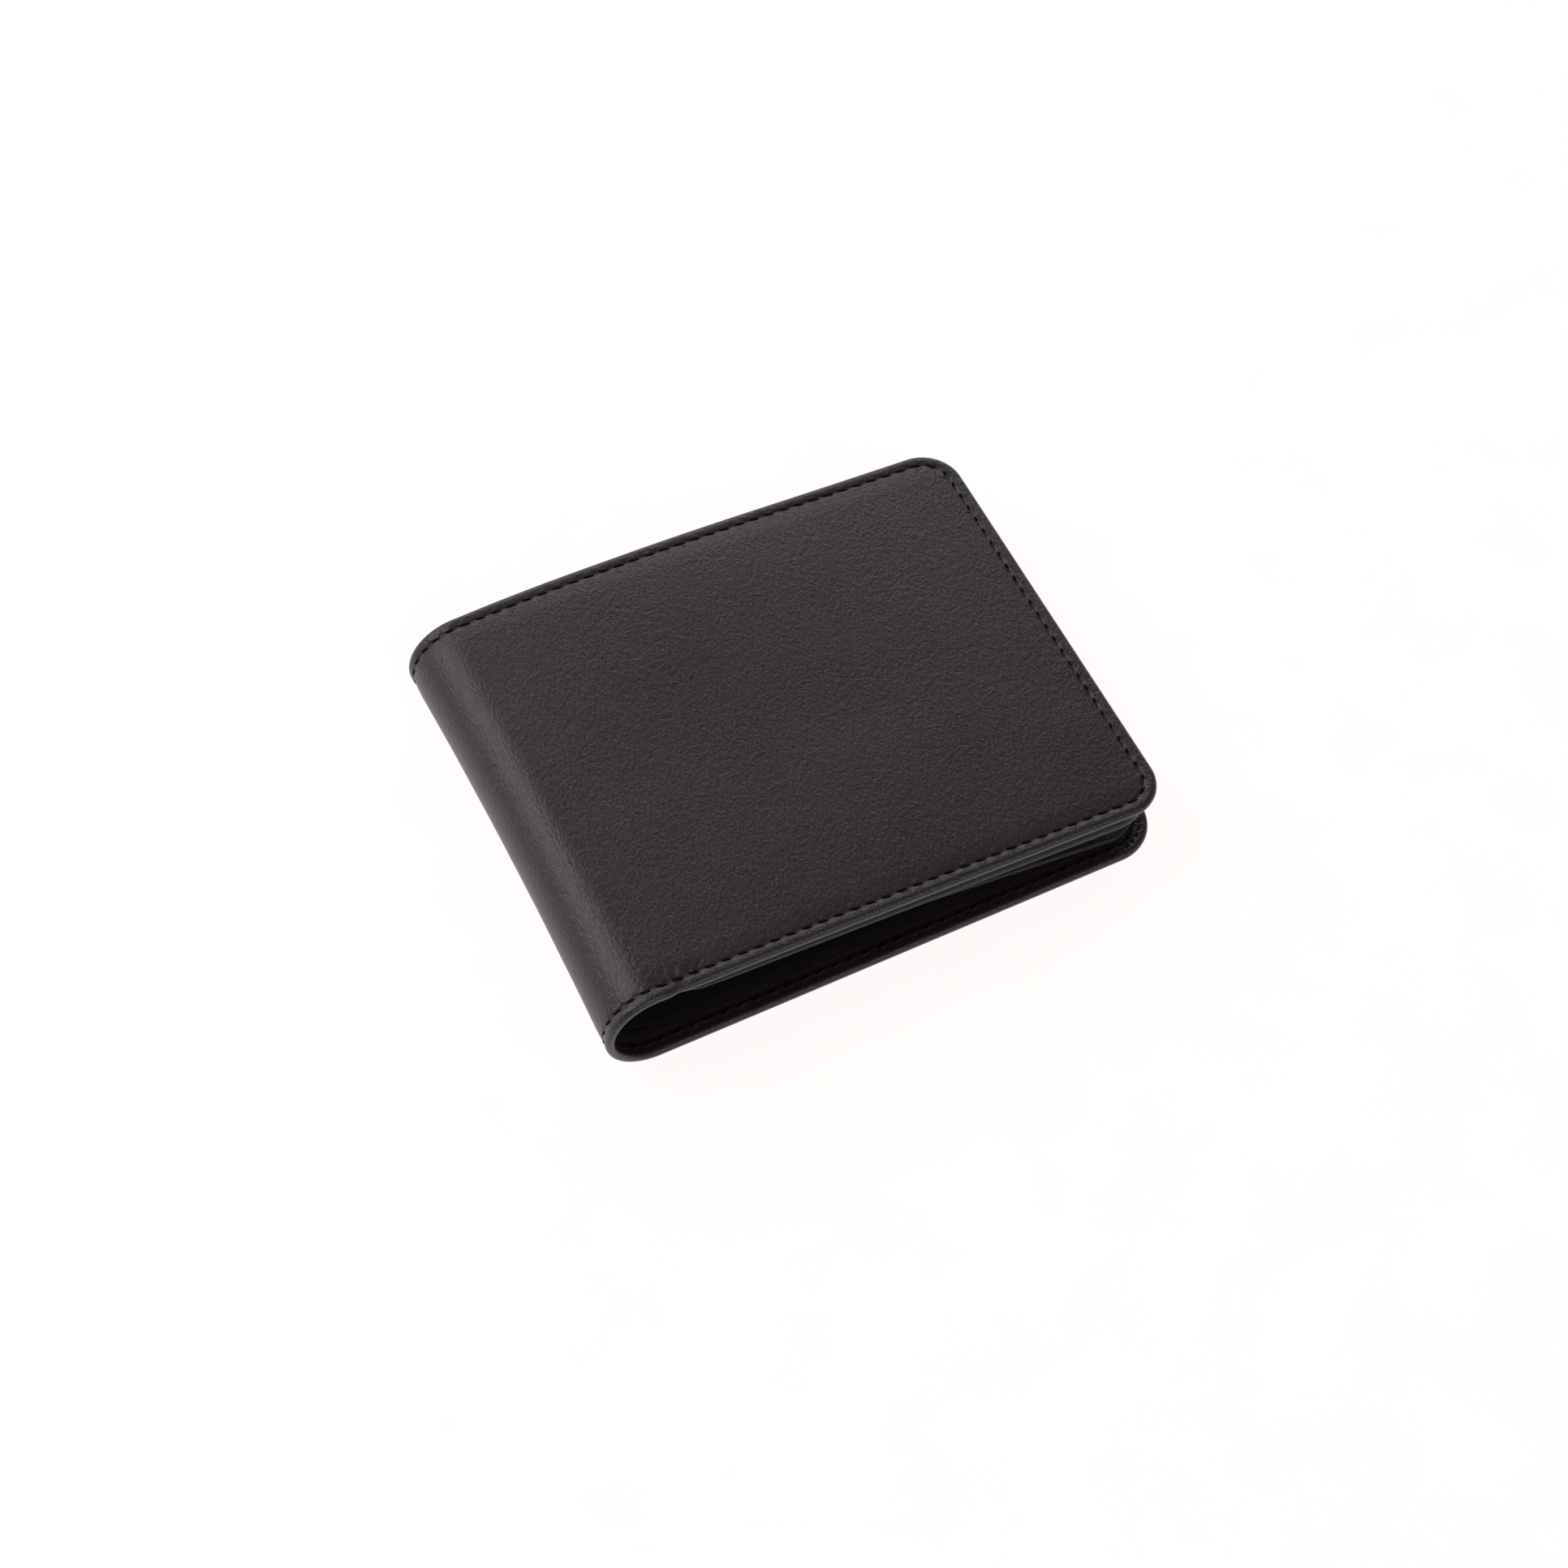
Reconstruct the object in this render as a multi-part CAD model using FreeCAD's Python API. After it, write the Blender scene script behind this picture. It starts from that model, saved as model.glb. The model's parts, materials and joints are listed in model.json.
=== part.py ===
"""Bifold wallet in leather, closed, lying on its back cover.

Millimetres. +X runs from the folded spine to the open edge, +Y from the bill opening to the sewn bottom
edge, +Z up. The origin is the middle of the closed wallet, on the surface that it lies on.

The cover is one piece of leather. Where it bends round the spine it is cut into strips, each a rigid link,
so that the wallet can fold open. The inner panel of the back leaf is sewn along the open edge and the bottom
edge, and its free corner stands up off the cover, as a second link, because the bill compartment gapes when
the wallet is closed.
"""

import FreeCAD
import Part
import math
import os
from collections import namedtuple

V = FreeCAD.Vector

# Overall sizes, closed
WIDTH = 115.0               # spine to open edge
HEIGHT = 93.0               # bill opening to bottom edge
SPINE_RADIUS = 10.3         # outside of the fold
FRONT_SLOPE = 2.7           # degrees that the front leaf drops towards its open edge
BACK_SETBACK = 0.2          # how far the back leaf stops short of the front one
FRONT_CORNER = 8.0          # round corners at the open edge
BACK_CORNER = 9.0

# Cover: leather turned in over a board, with a fabric lining
LEATHER = 1.0
TURN_IN = 0.7               # skived leather folded to the inside along the edges
TURN_IN_WIDTH = 9.0
BOARD_CLEARANCE = 0.3       # board to turn-in, all round
LINING = 0.25
LINING_OVERLAP = 3.6        # lining over the turn-in

# Seam
SEAM_INSET = 2.5
THREAD_WIDTH = 0.5
THREAD_DEPTH = 0.3
GROOVE_DEPTH = 0.35

# Bill divider
DIVIDER = 0.25
DIVIDER_GAP = 0.15          # lining to divider, and divider to panel
DIVIDER_RECESS = 5.5        # below the edge of the cover, at the bill opening

# Inner panels and card pockets
PANEL = 0.8
PANEL_START = 14.0          # from the outside of the spine to the panel's inner edge
BACK_PANEL_RECESS = 3.3     # below the edge of the cover, at the bill opening
FRONT_PANEL_RECESS = 0.5
PANEL_INSET = 1.2           # from the cover's edge, along the sewn sides
PANEL_CORNER = 9.0          # round corner at the bill opening
PANEL_RIM = 2.3             # turned-under edge along the sewn sides
RIM_CLEARANCE = 0.05
POCKET = 0.5
POCKET_GAP = 0.1
POCKET_COUNT = 3
FIRST_MOUTH = 15.0          # from the edge of the cover to the mouth of the first pocket
MOUTH_PITCH = 12.0

# Free corner of the back panel
CORNER_CLEARANCE = 0.35     # to the front panel, which the corner nearly touches
CREASE_FROM_OPEN_EDGE = 4.0  # where the crease meets the line of the panel's top edge
CREASE_FROM_BOTTOM = 7.5    # where it meets the panel's inner edge
CREASE_CLEARANCE = 0.15

# Spine links
STRIP_NAMES = ("spine_lower", "spine_middle", "spine_upper")
LINK_CLEARANCE = 0.1        # each side of a fold line

# Worked out from the values above
COVER = LEATHER + TURN_IN
FOLD_TURN = 180.0 + FRONT_SLOPE
FOLD_COUNT = len(STRIP_NAMES) + 1
FOLD_STEP = FOLD_TURN / FOLD_COUNT
FOLD_ANGLES = [FOLD_STEP * (k + 0.5) for k in range(FOLD_COUNT)]
LINK_TRIM = math.degrees(LINK_CLEARANCE / SPINE_RADIUS)
SPINE_X = SPINE_RADIUS - WIDTH / 2
NEAR_Y = -HEIGHT / 2
FAR_Y = HEIGHT / 2
DIVIDER_Z = COVER + LINING + DIVIDER_GAP
PANEL_Z = DIVIDER_Z + DIVIDER + DIVIDER_GAP
PANEL_X = PANEL_START - WIDTH / 2
PANEL_FAR = FAR_Y - PANEL_INSET
STACK_Z = PANEL_Z + PANEL + POCKET_COUNT * (POCKET + POCKET_GAP)
FAR_AWAY = 4 * WIDTH

SPINE_CENTRE = V(SPINE_X, 0, SPINE_RADIUS)
Y_AXIS = V(0, 1, 0)

# One leaf lying flat: X of its open edge, radius of its corners, Y of its panel's top edge
Leaf = namedtuple("Leaf", "end corner panel_near")


def front_leaf_end():
    """X where the front leaf ends when it lies flat, if the closed wallet is WIDTH long."""
    reach = WIDTH / 2 - SPINE_X
    slope = math.radians(FRONT_SLOPE)
    return SPINE_X + (reach - SPINE_RADIUS * math.sin(slope)) / math.cos(slope)


def plate(x0, x1, y0, y1, z0, thickness, near_radius=0.0, far_radius=0.0):
    """A flat plate whose two corners at x1 are round."""
    def corner(centre_x, centre_y, radius, start):
        """Quarter arc, counter-clockwise from the angle start."""
        points = []
        for turn in (0, 45, 90):
            a = math.radians(start + turn)
            points.append(V(centre_x + radius * math.cos(a), centre_y + radius * math.sin(a), z0))
        return Part.Arc(*points).toShape()

    edges = []
    last = V(x0, y0, z0)

    def line_to(point):
        nonlocal last
        edges.append(Part.makeLine(last, point))
        last = point

    line_to(V(x1 - near_radius, y0, z0))
    if near_radius:
        edges.append(corner(x1 - near_radius, y0 + near_radius, near_radius, -90))
        last = V(x1, y0 + near_radius, z0)
    line_to(V(x1, y1 - far_radius, z0))
    if far_radius:
        edges.append(corner(x1 - far_radius, y1 - far_radius, far_radius, 0))
        last = V(x1 - far_radius, y1, z0)
    line_to(V(x0, y1, z0))
    line_to(V(x0, y0, z0))
    return Part.Face(Part.Wire(edges)).extrude(V(0, 0, thickness))


def round_spine(radius, angle):
    """Point at a radius from the spine's centre line, turned from straight down by angle, at y = 0."""
    a = math.radians(angle)
    return SPINE_CENTRE + V(-radius * math.sin(a), 0, -radius * math.cos(a))


def bend(start, end, outside, thickness, y0, y1):
    """A sheet that follows the spine between two angles. outside is its depth below the cover's surface."""
    outer = SPINE_RADIUS - outside
    inner = outer - thickness
    middle = (start + end) / 2
    edges = [
        Part.Arc(round_spine(outer, start), round_spine(outer, middle), round_spine(outer, end)).toShape(),
        Part.makeLine(round_spine(outer, end), round_spine(inner, end)),
        Part.Arc(round_spine(inner, end), round_spine(inner, middle), round_spine(inner, start)).toShape(),
        Part.makeLine(round_spine(inner, start), round_spine(outer, start)),
    ]
    face = Part.Face(Part.Wire(edges))
    face.translate(V(0, y0, 0))
    return face.extrude(V(0, y1 - y0, 0))


def joined(first, *others):
    """One solid from pieces that meet."""
    result = first
    for other in others:
        result = result.fuse(other)
    return result.removeSplitter()


def without(solid, *tools):
    for tool in tools:
        solid = solid.cut(tool)
    return solid


# Leaves, built lying flat with the outside of the cover down

def leaf_bend(outside, thickness, y0, y1):
    """The part of a sheet between the flat leaf and its first fold line."""
    return bend(0, FOLD_ANGLES[0] - LINK_TRIM, outside, thickness, y0, y1)


def seam_channel(leaf, z0, depth):
    """The seam along the three straight sides of a leaf, as a solid band."""
    half = THREAD_WIDTH / 2
    bands = []
    for inset in (SEAM_INSET - half, SEAM_INSET + half):
        radius = leaf.corner - inset
        bands.append(plate(SPINE_X, leaf.end - inset, NEAR_Y + inset, FAR_Y - inset, z0, depth,
                           radius, radius))
    return bands[0].cut(bands[1])


def seam_edges():
    """The Y range of the seam at each edge of the cover."""
    half = THREAD_WIDTH / 2
    return [(y - half, y + half) for y in (NEAR_Y + SEAM_INSET, FAR_Y - SEAM_INSET)]


def seam_bends(start, end, outside, depth):
    """The same seam where it runs round the spine, at both edges of the cover."""
    return [bend(start, end, outside, depth, *edges) for edges in seam_edges()]


def cover_leather(leaf):
    hem = TURN_IN_WIDTH
    skin = plate(SPINE_X, leaf.end, NEAR_Y, FAR_Y, 0, COVER, leaf.corner, leaf.corner)
    well = plate(SPINE_X, leaf.end - hem, NEAR_Y + hem, FAR_Y - hem, LEATHER, TURN_IN)
    pieces = [skin.cut(well), leaf_bend(0, LEATHER, NEAR_Y, FAR_Y)]
    pieces.append(leaf_bend(LEATHER, TURN_IN, NEAR_Y, NEAR_Y + hem))
    pieces.append(leaf_bend(LEATHER, TURN_IN, FAR_Y - hem, FAR_Y))
    grooves = [seam_channel(leaf, 0, GROOVE_DEPTH)]
    grooves += seam_bends(0, FOLD_ANGLES[0], 0, GROOVE_DEPTH)
    return without(joined(*pieces), *grooves)


def cover_board(leaf):
    inset = TURN_IN_WIDTH + BOARD_CLEARANCE
    return plate(SPINE_X, leaf.end - inset, NEAR_Y + inset, FAR_Y - inset, LEATHER, TURN_IN)


def lining_edges():
    inset = TURN_IN_WIDTH - LINING_OVERLAP
    return NEAR_Y + inset, FAR_Y - inset


def cover_lining(leaf):
    near, far = lining_edges()
    inset = TURN_IN_WIDTH - LINING_OVERLAP
    flat = plate(SPINE_X, leaf.end - inset, near, far, COVER, LINING)
    return joined(flat, leaf_bend(COVER, LINING, near, far))


def cover_thread(leaf):
    """Thread in the groove outside, and on the turn-in inside, where no panel covers it."""
    turn = FOLD_ANGLES[0] - LINK_TRIM
    sunk = GROOVE_DEPTH - THREAD_DEPTH
    outside = joined(seam_channel(leaf, sunk, THREAD_DEPTH), *seam_bends(0, turn, sunk, THREAD_DEPTH))
    rows = []
    ends = (leaf.end - PANEL_CORNER, PANEL_X - LINK_CLEARANCE)
    for edges, end, round_bend in zip(seam_edges(), ends, seam_bends(0, turn, COVER, THREAD_DEPTH)):
        rows.append(joined(plate(SPINE_X, end, *edges, COVER, THREAD_DEPTH), round_bend))
    return Part.makeCompound([outside, *rows])


def divider_edges():
    return NEAR_Y + DIVIDER_RECESS, FAR_Y - PANEL_INSET - PANEL_RIM - DIVIDER_GAP


def bill_divider(leaf):
    near, far = divider_edges()
    inset = PANEL_INSET + PANEL_RIM + DIVIDER_GAP
    flat = plate(SPINE_X, leaf.end - inset, near, far, DIVIDER_Z, DIVIDER,
                 PANEL_CORNER - PANEL_RIM, leaf.corner - inset)
    return joined(flat, leaf_bend(DIVIDER_Z, DIVIDER, near, far))


def panel_end(leaf):
    return leaf.end - PANEL_INSET


def panel_base(leaf):
    """Panel with its edge turned under along the sewn sides, which closes the bill compartment there."""
    end = panel_end(leaf)
    far_radius = leaf.corner - PANEL_INSET
    sheet = plate(PANEL_X, end, leaf.panel_near, PANEL_FAR, PANEL_Z, PANEL, PANEL_CORNER, far_radius)
    rim_z = COVER + RIM_CLEARANCE
    rim_height = PANEL_Z - rim_z
    outer = plate(PANEL_X, end, leaf.panel_near, PANEL_FAR, rim_z, rim_height, PANEL_CORNER, far_radius)
    inner = plate(PANEL_X, end - PANEL_RIM, leaf.panel_near, PANEL_FAR - PANEL_RIM, rim_z, rim_height,
                  PANEL_CORNER - PANEL_RIM, far_radius - PANEL_RIM)
    past_corner = plate(PANEL_X, end, leaf.panel_near, leaf.panel_near + PANEL_CORNER, rim_z, rim_height)
    return joined(sheet, without(outer, inner, past_corner))


def pocket_mouth(number):
    return NEAR_Y + FIRST_MOUTH + number * MOUTH_PITCH


def pocket_top(number):
    """Height of a pocket's upper face. Number -1 is the panel itself."""
    return PANEL_Z + PANEL + (number + 1) * (POCKET + POCKET_GAP)


def card_pocket(leaf, number):
    far_radius = leaf.corner - PANEL_INSET
    return plate(PANEL_X, panel_end(leaf), pocket_mouth(number), PANEL_FAR,
                 pocket_top(number) - POCKET, POCKET, 0, far_radius)


def panel_thread(leaf):
    """Thread on the faces of the panel and its pockets: down both sides in steps, and along the bottom."""
    half = THREAD_WIDTH / 2
    left, right = PANEL_X + SEAM_INSET, leaf.end - SEAM_INSET
    bottom = FAR_Y - SEAM_INSET
    radius = leaf.corner - SEAM_INSET
    rows = []
    for number in range(-1, POCKET_COUNT):
        start = pocket_mouth(number) if number >= 0 else leaf.panel_near + SEAM_INSET
        z = pocket_top(number)
        outer = plate(left - half, right + half, start, bottom + half, z, THREAD_DEPTH, 0, radius + half)
        inner = plate(left + half, right - half, start - half, bottom - half, z, THREAD_DEPTH,
                      0, radius - half)
        rows.append(outer.cut(inner))
        if number < POCKET_COUNT - 1:
            stop = pocket_mouth(number + 1)
            rows[-1] = rows[-1].cut(plate(left - half, right + half, stop, FAR_Y, z, THREAD_DEPTH))
    round_corner = plate(right - half, right + half, leaf.panel_near, leaf.panel_near + PANEL_CORNER,
                         pocket_top(-1), THREAD_DEPTH)
    rows[0] = rows[0].cut(round_corner)
    return Part.makeCompound([solid for row in rows for solid in row.Solids])


# Spine strips

def spine_strip(number):
    """Solids of one link of the spine, by what they are."""
    start = FOLD_ANGLES[number] + LINK_TRIM
    end = FOLD_ANGLES[number + 1] - LINK_TRIM
    hem = TURN_IN_WIDTH
    lining_near, lining_far = lining_edges()
    divider_near, divider_far = divider_edges()
    leather = joined(
        bend(start, end, 0, LEATHER, NEAR_Y, FAR_Y),
        bend(start, end, LEATHER, TURN_IN, NEAR_Y, NEAR_Y + hem),
        bend(start, end, LEATHER, TURN_IN, FAR_Y - hem, FAR_Y),
    )
    thread = seam_bends(start, end, GROOVE_DEPTH - THREAD_DEPTH, THREAD_DEPTH)
    thread += seam_bends(start, end, COVER, THREAD_DEPTH)
    return {
        "leather": without(leather, *seam_bends(start - 1, end + 1, 0, GROOVE_DEPTH)),
        "lining": bend(start, end, COVER, LINING, lining_near, lining_far),
        "divider": bend(start, end, DIVIDER_Z, DIVIDER, divider_near, divider_far),
        "thread": Part.makeCompound(thread),
    }


# Free corner of the back panel

def crease_ends(leaf):
    """Where the crease meets the panel's top edge and its inner edge, level with the top of the pockets."""
    at_top = V(panel_end(leaf) - CREASE_FROM_OPEN_EDGE, leaf.panel_near, STACK_Z)
    at_side = V(PANEL_X, PANEL_FAR - CREASE_FROM_BOTTOM, STACK_Z)
    return at_top, at_side


def beyond_crease(leaf, offset):
    """A block over the free corner, starting at offset past the crease."""
    at_top, at_side = crease_ends(leaf)
    along = at_side.sub(at_top).normalize()
    outward = V(-along.y, along.x, 0)
    middle = at_top.add(at_side).multiply(0.5)
    a = middle + along * FAR_AWAY + outward * offset
    b = middle - along * FAR_AWAY + outward * offset
    c = b + outward * FAR_AWAY
    d = a + outward * FAR_AWAY
    points = [V(p.x, p.y, -FAR_AWAY) for p in (a, b, c, d, a)]
    return Part.Face(Part.makePolygon(points)).extrude(V(0, 0, 2 * FAR_AWAY))


def sewn_part(shape, leaf):
    return shape.cut(beyond_crease(leaf, -CREASE_CLEARANCE / 2))


def front_leaf_height(x, depth):
    """Height of the surface that lies at a depth inside the front leaf, above a point x on the floor."""
    slope = math.radians(FRONT_SLOPE)
    return SPINE_RADIUS + (SPINE_RADIUS - depth - (x - SPINE_X) * math.sin(slope)) / math.cos(slope)


def corner_lift(leaf):
    """Degrees that the corner turns up before its inner edge nears the front panel, or a pocket on it."""
    at_top, at_side = crease_ends(leaf)
    along = at_side.sub(at_top).normalize()
    lifts = []
    for number in range(-1, POCKET_COUNT):
        y = leaf.panel_near if number < 0 else pocket_mouth(number)
        face = pocket_top(number) + THREAD_DEPTH
        reach = along.x * (y - at_top.y) - along.y * (PANEL_X - at_top.x)
        below = STACK_Z - face
        room = front_leaf_height(PANEL_X, face) - CORNER_CLEARANCE - STACK_Z
        turn = math.asin(room / math.hypot(reach, below)) + math.atan2(below, reach)
        lifts.append(math.degrees(turn))
    return min(lifts)


def free_part(shape, leaf):
    """The free corner, turned up about the crease."""
    corner = shape.common(beyond_crease(leaf, CREASE_CLEARANCE / 2))
    at_top, at_side = crease_ends(leaf)
    corner.rotate(at_top, at_side.sub(at_top), corner_lift(leaf))
    return corner


# Nodes

def leaf_cover(prefix, leaf):
    return {
        prefix + "_cover_leather": cover_leather(leaf),
        prefix + "_cover_board": cover_board(leaf),
        prefix + "_cover_lining": cover_lining(leaf),
        prefix + "_cover_thread": cover_thread(leaf),
        prefix + "_bill_divider": bill_divider(leaf),
    }


def leaf_panel(leaf):
    """Inner panel, pockets and their thread, by the end of the node's name."""
    pieces = {"panel": panel_base(leaf), "panel_thread": panel_thread(leaf)}
    for number in range(POCKET_COUNT):
        pieces[f"card_pocket_{number + 1}"] = card_pocket(leaf, number)
    return pieces


BACK_LEAF = Leaf(WIDTH / 2 - BACK_SETBACK, BACK_CORNER, NEAR_Y + BACK_PANEL_RECESS)
FRONT_LEAF = Leaf(front_leaf_end(), FRONT_CORNER, NEAR_Y + FRONT_PANEL_RECESS)


def back_leaf():
    leaf = BACK_LEAF
    nodes = leaf_cover("back", leaf)
    for name, shape in leaf_panel(leaf).items():
        nodes["back_" + name] = sewn_part(shape, leaf)
        nodes["back_corner_" + name] = free_part(shape, leaf)
    return nodes


def front_leaf():
    """Built like a back leaf, mirrored to lie beyond the spine, then folded over the top."""
    leaf = FRONT_LEAF
    nodes = leaf_cover("front", leaf)
    for name, shape in leaf_panel(leaf).items():
        nodes["front_" + name] = shape
    folded = {}
    for name, shape in nodes.items():
        mirrored = shape.mirror(SPINE_CENTRE, V(1, 0, 0))
        mirrored.rotate(SPINE_CENTRE, Y_AXIS, FOLD_TURN)
        folded[name] = mirrored
    return folded


def spine():
    nodes = {}
    for number, name in enumerate(STRIP_NAMES):
        for piece, shape in spine_strip(number).items():
            nodes[f"{name}_{piece}"] = shape
    return nodes


def report_joints():
    """Fold lines and crease, for the record."""
    for number, angle in enumerate(FOLD_ANGLES):
        point = round_spine(SPINE_RADIUS, angle)
        print(f"fold {number + 1}: x {point.x:.4f}  z {point.z:.4f}  step {FOLD_STEP:.4f} degrees")
    at_top, at_side = crease_ends(BACK_LEAF)
    along = at_side.sub(at_top).normalize()
    print(f"crease: x {at_top.x:.4f}  y {at_top.y:.4f}  z {at_top.z:.4f}  "
          f"along {along.x:.6f} {along.y:.6f}  lift {corner_lift(BACK_LEAF):.4f} degrees")


def main():
    os.makedirs("parts", exist_ok=True)
    nodes = {**back_leaf(), **spine(), **front_leaf()}
    for name, shape in sorted(nodes.items()):
        solids = shape.Solids
        whole = solids[0] if len(solids) == 1 else Part.makeCompound(solids)
        whole.exportStep(f"parts/{name}.step")
        box = whole.BoundBox
        print(f"{name}: {len(solids)} solid, {whole.Volume:.1f} mm3, valid {whole.isValid()}, "
              f"{box.XLength:.2f} x {box.YLength:.2f} x {box.ZLength:.2f} mm")
    report_joints()


main()
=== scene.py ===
# %% [markdown]
# # A bifold wallet in black leather
#
# The wallet lies closed on its back cover. The whole wallet is modelled flat first, the way a leather worker
# cuts it, and then one function folds every sheet round the spine. Working flat keeps seams straight, hems
# even and grain unstretched, and the same function puts each layer at its own depth.

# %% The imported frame
import json
import math

import bmesh
import bpy
from mathutils import Matrix, Vector, noise
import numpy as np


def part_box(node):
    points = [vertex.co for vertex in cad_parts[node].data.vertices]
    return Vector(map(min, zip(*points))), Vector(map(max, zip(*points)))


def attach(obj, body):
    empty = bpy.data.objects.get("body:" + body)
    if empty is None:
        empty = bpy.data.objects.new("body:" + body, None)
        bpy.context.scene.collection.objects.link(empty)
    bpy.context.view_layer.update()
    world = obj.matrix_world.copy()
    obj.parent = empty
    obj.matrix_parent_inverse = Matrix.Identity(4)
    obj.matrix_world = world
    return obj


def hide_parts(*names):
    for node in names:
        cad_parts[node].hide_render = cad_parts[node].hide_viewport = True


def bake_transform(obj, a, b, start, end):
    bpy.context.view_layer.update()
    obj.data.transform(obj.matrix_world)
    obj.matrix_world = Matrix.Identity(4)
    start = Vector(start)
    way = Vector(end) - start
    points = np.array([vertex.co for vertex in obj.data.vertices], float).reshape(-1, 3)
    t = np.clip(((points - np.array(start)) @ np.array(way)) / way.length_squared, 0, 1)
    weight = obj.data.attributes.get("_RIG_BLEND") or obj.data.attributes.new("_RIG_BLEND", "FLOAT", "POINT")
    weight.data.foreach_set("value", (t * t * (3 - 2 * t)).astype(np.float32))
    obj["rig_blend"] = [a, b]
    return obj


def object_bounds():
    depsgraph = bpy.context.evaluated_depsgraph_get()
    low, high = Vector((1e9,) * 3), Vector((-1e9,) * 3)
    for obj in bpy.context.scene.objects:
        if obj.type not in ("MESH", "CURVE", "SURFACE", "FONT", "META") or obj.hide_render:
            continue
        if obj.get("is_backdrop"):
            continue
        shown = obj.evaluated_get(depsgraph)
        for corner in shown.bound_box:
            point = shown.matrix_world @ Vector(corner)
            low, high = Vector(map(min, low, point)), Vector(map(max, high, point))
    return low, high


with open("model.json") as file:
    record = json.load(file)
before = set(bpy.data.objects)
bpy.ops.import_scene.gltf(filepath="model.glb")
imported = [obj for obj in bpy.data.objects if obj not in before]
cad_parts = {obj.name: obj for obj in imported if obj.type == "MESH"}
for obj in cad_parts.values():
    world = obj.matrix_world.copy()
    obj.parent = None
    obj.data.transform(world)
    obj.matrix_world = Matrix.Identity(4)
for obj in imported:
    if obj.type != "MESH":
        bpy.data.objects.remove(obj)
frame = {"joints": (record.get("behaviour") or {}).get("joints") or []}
cad_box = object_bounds()

# %% [markdown]
# ## Sizes
#
# The fold lines, the leaves and the panels are read from the frame, so they always agree with it. The lengths
# below are in millimetres, because leather work is, and they become metres when a piece is put in place.

# %% Sizes from the frame
MM = 0.001
joints = {joint["name"]: joint for joint in frame["joints"]}
folds = [joints[name] for name in sorted(joints) if name.startswith("fold")]
STEP = math.radians(folds[0]["range_deg"][1])      # turn of the spine at each fold line
TURN = STEP * len(folds)                           # whole turn, a little over half a circle
RADIUS = folds[0]["pos_m"][2] / MM / (1 - math.cos(STEP / 2))
SPINE_X = folds[0]["pos_m"][0] / MM + RADIUS * math.sin(STEP / 2)
ARC = RADIUS * TURN                                # length of leather round the spine
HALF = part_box("back_cover_leather")[1].y / MM      # half the wallet's height
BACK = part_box("back_cover_leather")[1].x / MM - SPINE_X
FRONT = (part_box("front_cover_leather")[1].x / MM - SPINE_X + RADIUS * math.sin(TURN)) / -math.cos(TURN)
PANEL_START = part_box("back_panel")[0].x / MM - SPINE_X
print(f"spine radius {RADIUS:.2f}, leather round it {ARC:.2f}, leaves {BACK:.1f} and {FRONT:.1f} mm")

# %% [markdown]
# The layers follow each other from the outside of the wallet inwards. Each has the depth at which it starts
# and its thickness. A card-holding wallet is mostly leather on leather, so a few tenths of a millimetre each
# way decide whether it closes.

# %% Sizes of the layers, outside to inside
COVER = 1.7                     # leather with its turned-in edge
LINING = 0.25
DIVIDER_AT, DIVIDER = 2.1, 0.25
PANEL_AT, PANEL = 2.5, 0.8
POCKET_AT, POCKET = 3.4, 0.5
POCKET_PITCH = 0.6              # step up from one pocket to the next
POCKETS = 3
FRONT_CORNER, BACK_CORNER, PANEL_CORNER = 8.0, 9.0, 9.0
leaf_depth = POCKET_AT + (POCKETS - 1) * POCKET_PITCH + POCKET
print(f"a leaf is {leaf_depth:.1f} mm thick with its pockets")

# %% [markdown]
# ## Folding
#
# A point of the flat wallet has a run `s` along the outside of the cover, a place `y` across it, and a
# `depth` from the outside inwards. `s` is negative on the back leaf, 0 to `ARC` round the spine, and beyond
# that on the front leaf. Two soft touches are put in here, so that every layer shares them: the front cover
# domes a little over what is inside, more so towards the sewn edge, and the spine draws in at the middle,
# where no turned edge stiffens it. Blender's Simple Deform modifier could bend each sheet too, but a
# function in plain code puts every layer at its exact depth and can be asked about a single point.

# %% The fold
DOME = 0.8                      # rise in the middle of the front cover
FAR_RISE = 1.3                  # further rise of its far edge, a third of the way from the spine
WAIST = 0.9                     # how far the spine draws in


def smooth(low, high, x):
    """0 below low, 1 above high, and an even ease between them."""
    t = max(0.0, min(1.0, (x - low) / (high - low)))
    return t * t * (3 - 2 * t)


def fold(s, y, depth):
    """A point of the flat wallet, folded shut, in metres."""
    if s <= 0:
        return Vector((SPINE_X - s, y, depth)) * MM
    turn = min(s / RADIUS, TURN)
    drawn_in = WAIST * (1 - (y / HALF) ** 2) * math.sin(math.pi * turn / TURN) ** 2
    r = RADIUS - depth - drawn_in
    x, z = SPINE_X - r * math.sin(turn), RADIUS - r * math.cos(turn)
    if s > ARC:
        run = s - ARC
        t = min(run / FRONT, 1.0)
        dome = DOME * 4 * t * (1 - t) * (1 - 0.6 * (y / HALF) ** 4)
        dome += FAR_RISE * 6.75 * t * (1 - t) ** 2 * smooth(-0.2, 1.0, y / HALF)
        x += -math.cos(TURN) * run - math.sin(TURN) * dome
        z += math.sin(TURN) * run - math.cos(TURN) * dome
    return Vector((x, y, z)) * MM


print("open edge of the front cover at", [round(c / MM, 2) for c in fold(ARC + FRONT, 0, 0)])

# %% [markdown]
# The back panel's free corner gapes. It turns up about a crease, and real leather takes that turn over a few
# millimetres instead of along a sharp line. The turn at a point depends on where the point ends up, so it is
# found in a few rounds.

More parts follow.
